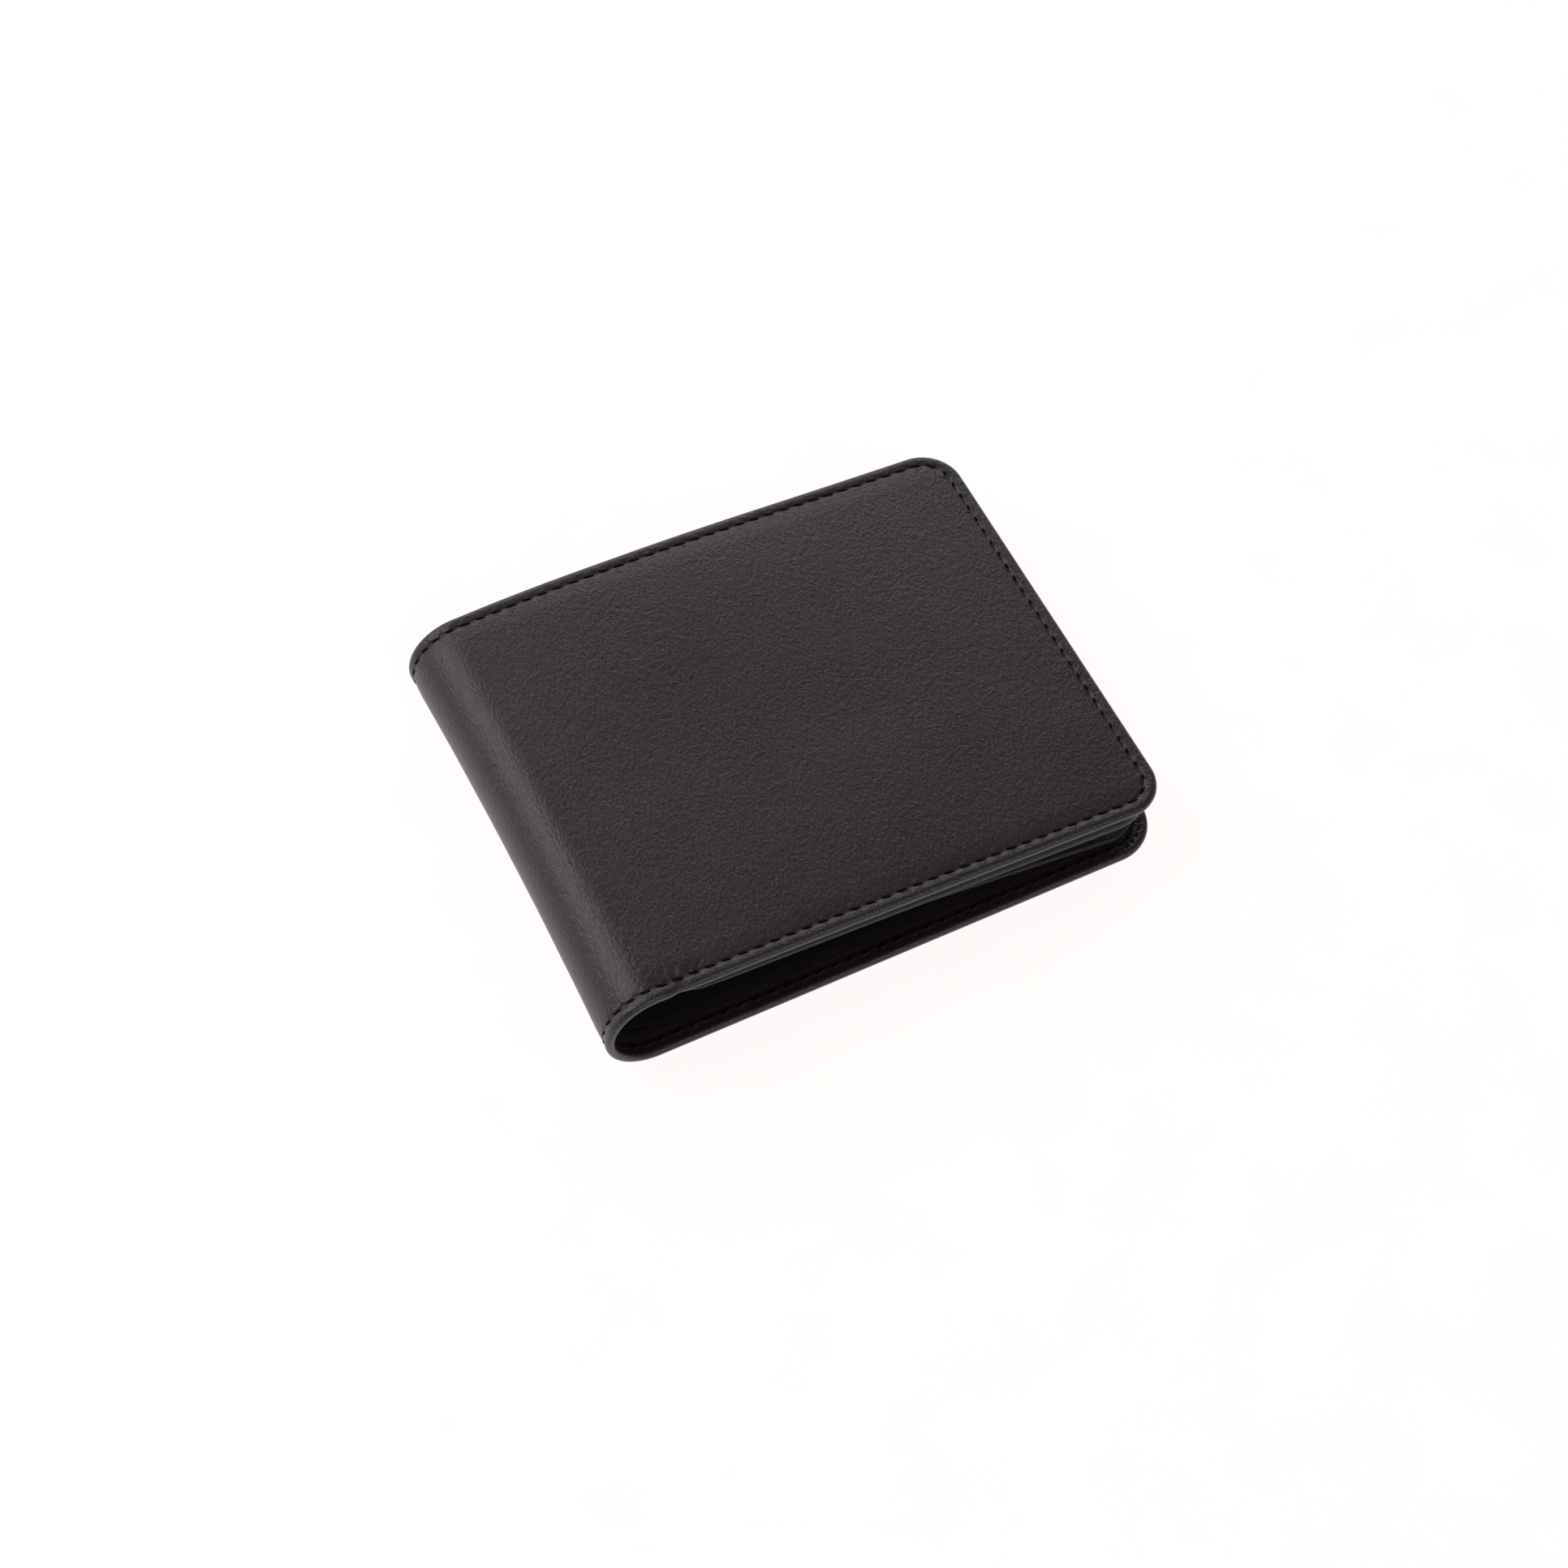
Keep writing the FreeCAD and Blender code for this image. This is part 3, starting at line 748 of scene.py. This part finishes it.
def mark_leather(bm, seam):
    """Attributes for the leather's material: how rubbed it is, with painted shade between the pleats inside, and
    its place along and off the seam.
    """
    inset = bm.verts.layers.float["inset"]
    names = "wear_and_pleat_shade", "seam_along", "seam_pull"
    wear_and_pleat_shade, along, pull = (bm.verts.layers.float.new(name) for name in names)
    for vert in bm.verts:
        vert[wear_and_pleat_shade] = 1 - smooth(0.2, 2.2, vert[inset])
        # On the inner face the pleats' ridges take the worn colour and their valleys keep the darker body
        # colour: painted shade between the pleats.
        if seam and vert.co.z > COVER / 2 and vert[inset] > 1.2:
            radius = BACK_CORNER if vert.co.x < 0 else FRONT_CORNER
            vert[wear_and_pleat_shade] = pleat(vert.co.x, vert.co.y, vert[inset], -BACK, ARC + FRONT, radius)
        if vert[inset] < 7 and seam:
            place, away = seam.nearest(vert.co.x, vert.co.y)
            vert[along] = place / STITCH_PITCH
            vert[pull] = bell(away, 0.6)


mark_leather(cover, cover_seam)
for vert in cover.verts:
    dent = 0.35 * bell(vert.co.x - NOTCH_S, 1.3) * (1 - smooth(0.0, 3.0, vert.co.y + HALF))
    vert.co.y += dent + 0.10 * rough_noise(vert.co.x, vert.co.y, 30, 7.0)
cover_cuts = across_spine("cover", cover, cover_leather,
                          nodes_of_cuts("cover_leather", "leather"))

# %% [markdown]
# ## Boards
#
# A board stiffens each leaf and is sealed between leather and lining, inside the turned-in edge. It never
# shows, so it is a plain slab with square corners.

# %% Boards
BOARD_FACES = 1.03, 1.62
BOARD_INSET = 9.3
BOARD_GAP = 0.3                 # from the spine


def board_slab(low, high):
    us = ticks(low, high, 4.0) + [high]
    vs = ticks(-HALF + BOARD_INSET, HALF - BOARD_INSET, 4.0) + [HALF - BOARD_INSET]
    return slab(us, vs, (0, 0, 0, 0), lambda u, v, i: BOARD_FACES[0], lambda u, v, i: BOARD_FACES[1])


for leaf, low, high in (("back", -BACK + BOARD_INSET, -BOARD_GAP),
                        ("front", ARC + BOARD_GAP, ARC + FRONT - BOARD_INSET)):
    sealed = board_slab(low, high)
    flat_map(sealed)
    settle(sealed, fold)
    stiffener = finished(f"{leaf}_board", sealed, board)
    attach(stiffener, f"{leaf}_leaf")
    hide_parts(f"{leaf}_cover_board")
    sealed.free()
    print(stiffener.name, round(high - low, 1), "mm wide")

# %% [markdown]
# ## Lining and divider
#
# The lining is glued over the board and laps the turned edge, so its near edge wanders a little. The divider
# hangs free in the spine, and its top edge stays below the cover's. Cloth simulation could hang it, but it is
# lies between two flat sheets and has nowhere to fall, so a little noise in its depth is enough.

# %% Cloth grid
CLOTH_STEP = 1.6


def cloth_grid(low, high, near, far, step):
    """Tick lists for a sheet of cloth, closer in the spine."""
    us = [low, low + 0.06, low + 0.13] + ticks(low + 0.6, 0, step) + ticks(0, ARC, ARC / 60)
    us += ticks(ARC, high - 0.6, step) + [high - 0.6, high - 0.13, high - 0.06, high]
    vs = [near, near + 0.06, near + 0.13] + ticks(near + 0.6, far - 0.6, step)
    vs += [far - 0.6, far - 0.13, far - 0.06, far]
    return us, vs


print("lines across the wallet:", len(cloth_grid(-BACK, ARC + FRONT, -HALF, HALF, CLOTH_STEP)[1]))

# %% Lining
LINING_INSET = 5.0
LINING_SUNK = 0.15              # how far its outer face is pressed into the leather


def lining_inside(u, v, inset):
    return COVER + LINING + 0.03 + 0.06 * rough_noise(u, v, 7, 3.0)


us, vs = cloth_grid(-BACK + LINING_INSET, ARC + FRONT - LINING_INSET, -HALF + LINING_INSET,
                    HALF - LINING_INSET, CLOTH_STEP)
lining = slab(us, vs, (4, 4, 3, 3), lambda u, v, i: COVER - LINING_SUNK, lining_inside)
for vert in lining.verts:
    near_edge = bell(vert.co.y + HALF - LINING_INSET, 2.5)
    wander = 0.9 * rough_noise(vert.co.x, 0, 9, 1.0) + 0.5 * rough_noise(vert.co.x, 0, 2.5, 1.5)
    vert.co.y += near_edge * wander
lining_cuts = across_spine("lining", lining, lining_cloth, nodes_of_cuts("cover_lining", "lining"))

# %% Divider
DIVIDER_INSET = 3.7
DIVIDER_NEAR, DIVIDER_FAR = 5.6, 3.8


def divider_sag(u, v):
    """The divider stands off the lining where it goes round the spine."""
    return in_spine(u, 3.0) * (0.9 + 0.35 * rough_noise(u, v, 9, 4.0))


us, vs = cloth_grid(-BACK + DIVIDER_INSET, ARC + FRONT - DIVIDER_INSET, -HALF + DIVIDER_NEAR,
                    HALF - DIVIDER_FAR, CLOTH_STEP)
divider = slab(us, vs, (6, 5, 6, 4), lambda u, v, i: DIVIDER_AT + divider_sag(u, v),
               lambda u, v, i: DIVIDER_AT + DIVIDER + divider_sag(u, v))
divider_cuts = across_spine("divider", divider, divider_cloth,
                            nodes_of_cuts("bill_divider", "divider"))

# %% [markdown]
# ## Stitches
#
# A stitch is a short, fat bead of thread that dips into a hole at each end, so a squashed ball is the right
# shape. It leans a little, as lockstitch does. The stitches of one cut of the cover are one object.

# %% Stitch helper
STITCH_LENGTH = 2.3
SHORT_STITCH = 1.2              # what shows of a stitch at the open edge, where the thread is pulled in
THREAD_RISE = 0.20
LEAN = -0.20


def add_stitch(bm, point, heading, depth, width=0.27, length=STITCH_LENGTH):
    """A bead of thread on the flat wallet, half sunk at a depth. No two are quite the same."""
    uneven = rough_noise(point.x, point.y, 1.3, 21.0)
    made = bmesh.ops.create_uvsphere(bm, u_segments=8, v_segments=6, radius=1.0)["verts"]
    size = Matrix.Diagonal((length / 2 * (1 + 0.15 * uneven), width, THREAD_RISE, 1))
    turn = Matrix.Rotation(heading + LEAN + 0.10 * uneven, 4, "Z")
    bmesh.ops.transform(bm, verts=made, matrix=Matrix.Translation((*point, depth)) @ turn @ size)


def row_of(seam, wanted=lambda u, v: True):
    """Places and headings of the stitches along a seam, where wanted."""
    count = round(seam.length / STITCH_PITCH)
    for k in range(count):
        point, heading = seam.at((k + 0.5) * STITCH_PITCH)
        if wanted(point.x, point.y):
            yield point, heading


print("the cover has", len(list(row_of(cover_seam))), "stitches")

# %% Cover stitches
CHANNEL = 0.13                  # depth of the channel that the stitches lie in
PRESSED = 0.02                  # how far a stitch is pressed into a flat face

for number, ending in enumerate(ENDINGS):
    beads = bmesh.new()
    for point, heading in row_of(cover_seam, lambda u, v: link_of(u) == number):
        length = SHORT_STITCH if point.x > ARC + FRONT - SEAM - 1 else STITCH_LENGTH
        add_stitch(beads, point, heading, CHANNEL, length=length, width=0.25)
        shows_inside = point.y < 0 and -BACK + PANEL_CORNER < point.x < ARC + FRONT - PANEL_CORNER
        if shows_inside or -PANEL_START < point.x < ARC + PANEL_START:
            add_stitch(beads, point, heading, COVER - PRESSED)
    settle(beads, fold)
    stitches = finished(f"cover_stitches_{ending}", beads, thread)
    bend_between(stitches, number, COVER)
    beads.free()
    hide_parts(*nodes_of_cuts("cover_thread", "thread")[number])
print("the cover is sewn")

# %% [markdown]
# ## Inner panels and card pockets
#
# Each leaf has a panel of leather with its edges turned under, and three card pockets sewn over each other,
# each lower than the last so that every mouth shows. The front panel's top edge is a thick rolled one. The
# back panel and its pockets take the gape's turn. They are slabs like the cover, and only the depths of their
# faces differ.

# %% Panel outlines
PANEL_INSET = 1.2               # from the cover's edge
PANEL_RECESS = {"back": 3.3, "front": 0.5}         # of the panel's top edge from the cover's
PANEL_SIDES = {
    "back": (-BACK + PANEL_INSET, -PANEL_START),
    "front": (ARC + PANEL_START, ARC + FRONT - PANEL_INSET),
}
PANEL_FAR = HALF - PANEL_INSET
panel_edge = [0.0, 0.08, 0.25, 0.5, 0.85, 1.3, 1.8, 2.25, 2.5, 2.75, 3.3, 4.2]


def panel_ticks(low, high, step=1.2):
    reach = panel_edge[-1]
    middle = ticks(low + reach, high - reach, step)
    return [low + t for t in panel_edge[:-1]] + middle + [high - t for t in reversed(panel_edge)]


def outer_corner(leaf):
    """Radius of the panel's far corner, which follows the cover's."""
    return (BACK_CORNER if leaf == "back" else FRONT_CORNER) - PANEL_INSET


def open_edge_share(leaf, u):
    """0 at the panel's inner edge, 1 at the open edge."""
    low, high = PANEL_SIDES[leaf]
    share = (u - low) / (high - low)
    return share if leaf == "front" else 1 - share


def panel_corners(leaf, near, far):
    """The slab's corner radii, which are large at the open edge."""
    return (5.0, 1.0, near, far) if leaf == "front" else (near, far, 1.0, 1.0)


for leaf, (low, high) in PANEL_SIDES.items():
    print(f"the {leaf} panel is {high - low:.1f} mm wide")


# %% Panel and pocket slabs
FIRST_MOUTH = 15.0              # from the wallet's near edge to the first pocket's mouth
MOUTH_PITCH = 12.0


def panel_slab(leaf):
    near = -HALF + PANEL_RECESS[leaf]

    def inside(u, v, inset):
        rolled = 1 - smooth(4.5, 7.0, v - near)
        share = open_edge_share(leaf, u)
        roll = 0.35
        if leaf == "front":
            roll = (0.7 + 1.7 * smooth(0.0, 0.9, share)) * smooth(0.0, 0.15, share)
        groove = 0.16 * bell(inset - SEAM, 0.32)
        return PANEL_AT + PANEL + roll * rolled - groove + 0.06 * rough_noise(u, v, 12, 9.0)

    def outside(u, v, inset):
        return PANEL_AT + 0.03 * rough_noise(u, v, 10, 11.0)

    us, vs = panel_ticks(*PANEL_SIDES[leaf]), panel_ticks(near, PANEL_FAR)
    return slab(us, vs, panel_corners(leaf, PANEL_CORNER, outer_corner(leaf)), outside, inside)


def pocket_slab(leaf, number):
    mouth_v = -HALF + FIRST_MOUTH + number * MOUTH_PITCH
    top = POCKET_AT + number * POCKET_PITCH

    def inside(u, v, inset):
        creased = 0.10 * bell(v - mouth_v - 1.6, 0.30)
        sides = 0.12 * bell(inset - SEAM, 0.32) if v - mouth_v > inset + 0.5 else 0.0
        return top + POCKET - creased - sides + 0.04 * rough_noise(u, v, 14, 13.0 + number)

    us, vs = panel_ticks(*PANEL_SIDES[leaf]), panel_ticks(mouth_v, PANEL_FAR)
    return slab(us, vs, panel_corners(leaf, 0.5, outer_corner(leaf)), lambda u, v, i: top, inside)


print("mouths at", [FIRST_MOUTH + k * MOUTH_PITCH for k in range(POCKETS)], "mm from the near edge")


# %% Panels and pockets
def inner_piece(leaf, name, bm, material, nodes):
    """Folds a piece of the inside, and hangs it on its leaf."""
    if material is not thread:
        flat_map(bm)
    settle(bm, fold_and_gape if leaf == "back" else fold)
    piece = finished(f"{leaf}_{name}", bm, material)
    bm.free()
    if leaf == "back":
        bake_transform(piece, "back_leaf", "back_panel_corner", start=GAPE_FROM, end=GAPE_TO)
        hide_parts(*[f"{half}_{node}" for node in nodes for half in ("back", "back_corner")])
    else:
        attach(piece, "front_leaf")
        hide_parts(*[f"front_{node}" for node in nodes])


for leaf in PANEL_SIDES:
    sheet = panel_slab(leaf)
    mark_leather(sheet, None)
    inner_piece(leaf, "panel", sheet, panel_leather, ["panel"])
    for number in range(POCKETS):
        sheet = pocket_slab(leaf, number)
        mark_leather(sheet, None)
        inner_piece(leaf, f"pocket_{number + 1}", sheet, panel_leather,
                    [f"card_pocket_{number + 1}"])
print("panels and pockets are in")


# %% [markdown]
# One seam holds each panel with its pockets. It crosses the pockets' mouths, so its stitches step down from
# one pocket to the next.

# %% Panel stitches
def stitch_depth(v):
    """The face that a stitch lies on, which steps down a pocket at each mouth."""
    mouths = [-HALF + FIRST_MOUTH + k * MOUTH_PITCH for k in range(POCKETS)]
    below = sum(1 for mouth_v in mouths if v > mouth_v)
    return PANEL_AT + PANEL if below == 0 else POCKET_AT + (below - 1) * POCKET_PITCH + POCKET


for leaf, (low, high) in PANEL_SIDES.items():
    near = -HALF + PANEL_RECESS[leaf]
    corners = (outer_corner(leaf), 1.0) if leaf == "back" else (1.0, outer_corner(leaf))
    panel_seam = Seam(low, high, near, PANEL_FAR, *corners, SEAM - PANEL_INSET + 0.3)
    beads = bmesh.new()
    for point, heading in row_of(panel_seam, lambda u, v: v > near + 9):
        add_stitch(beads, point, heading, stitch_depth(point.y) - PRESSED, width=0.24)
    print(f"the {leaf} panel's stitches have {len(beads.verts)} points")
    inner_piece(leaf, "panel_stitches", beads, thread, ["panel_thread"])

# %% [markdown]
# ## Floor
#
# The floor is a plain sheet of pale paper. A black wallet needs little light, and so little light would leave
# white paper grey. So the paper glows by itself, and its own colour is darker than it looks.

# %% Floor
floor_grid = bmesh.new()
bmesh.ops.create_grid(floor_grid, x_segments=1, y_segments=1, size=3.0)
floor_mesh = bpy.data.meshes.new("floor")
floor_grid.to_mesh(floor_mesh)
floor_grid.free()
floor = bpy.data.objects.new("floor", floor_mesh)
bpy.context.scene.collection.objects.link(floor)
paper, tree, shader, node = new_material("floor_paper")
tooth = noisy(node, node("ShaderNodeTexCoord").outputs["Object"], 60.0)
tree.links.new(ramp(node, tooth, (0.3, (0.115, 0.111, 0.110)), (0.7, (0.130, 0.125, 0.124))),
               shader.inputs["Base Color"])
shader.inputs["Roughness"].default_value = 0.9
shader.inputs["Specular IOR Level"].default_value = 0.1
shader.inputs["Emission Color"].default_value = (1.0, 0.965, 0.956, 1)
shader.inputs["Emission Strength"].default_value = 0.95
floor_mesh.materials.append(paper)
floor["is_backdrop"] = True
print("floor", [round(side) for side in floor.dimensions[:2]], "m")

# %% [markdown]
# ## Light
#
# Three large soft lights, as in a tent. The one beyond the wallet is low, so that its glow is strongest on
# the far side of the cover and fades towards the viewer. The one on the left draws the bright line along the
# spine, and the near one fills the mouth and the edges.

# %% Light
STUDIO_WHITE = (1.0, 0.985, 0.98)


def soft_light(name, place, size, watts):
    """A rectangular light that points at the wallet."""
    lamp = bpy.data.lights.new(name, "AREA")
    lamp.shape, lamp.size, lamp.size_y, lamp.energy = "RECTANGLE", size[0], size[1], watts
    lamp.color = STUDIO_WHITE
    holder = bpy.data.objects.new(name, lamp)
    bpy.context.scene.collection.objects.link(holder)
    holder.location = place
    holder.rotation_euler = (-Vector(place)).to_track_quat("-Z", "Y").to_euler()
    print(name, watts, "W")


world = bpy.data.worlds.new("studio")
bpy.context.scene.world = world
world.use_nodes = True
sky = world.node_tree.nodes["Background"]
sky.inputs["Color"].default_value = (*STUDIO_WHITE, 1)
sky.inputs["Strength"].default_value = 0.12
soft_light("far_light", (0.34, 1.32, 0.74), (1.8, 0.5), 10)
soft_light("left_light", (-0.93, 0.70, 1.06), (0.55, 1.1), 11.5)
soft_light("near_light", (0.1, -1.9, 1.6), (2.4, 1.4), 18)
bpy.context.scene.view_settings.view_transform = "Standard"

# %% [markdown]
# ## Camera
#
# The camera looks down at the near side of the wallet from a little to one side.

# %% Camera
AZIMUTH, ELEVATION = math.radians(-25.9), math.radians(56.2)
DISTANCE = 0.6745
LENS = 80.93
back_way = Vector((math.sin(AZIMUTH) * math.cos(ELEVATION), -math.cos(AZIMUTH) * math.cos(ELEVATION),
                   math.sin(ELEVATION)))
camera_data = bpy.data.cameras.new("camera")
camera_data.lens, camera_data.sensor_width, camera_data.clip_start = LENS, 36.0, 0.01
camera_data.shift_x, camera_data.shift_y = 0.0002, -0.0086
camera = bpy.data.objects.new("camera", camera_data)
bpy.context.scene.collection.objects.link(camera)
camera.location = back_way * DISTANCE
camera.rotation_euler = back_way.to_track_quat("Z", "Y").to_euler()
bpy.context.scene.camera = camera
print("camera at", [round(c, 3) for c in camera.location])

# %% [markdown]
# ## Finish
#
# The visual model's box is printed beside the frame's.

# %% Size and finish
bpy.context.view_layer.update()
looks_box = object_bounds()
boxes = {"cad": [list(corner) for corner in cad_box], "looks": [list(corner) for corner in looks_box]}
print("boxes in mm", {key: [[round(c / MM, 1) for c in corner] for corner in box] for key, box in boxes.items()})
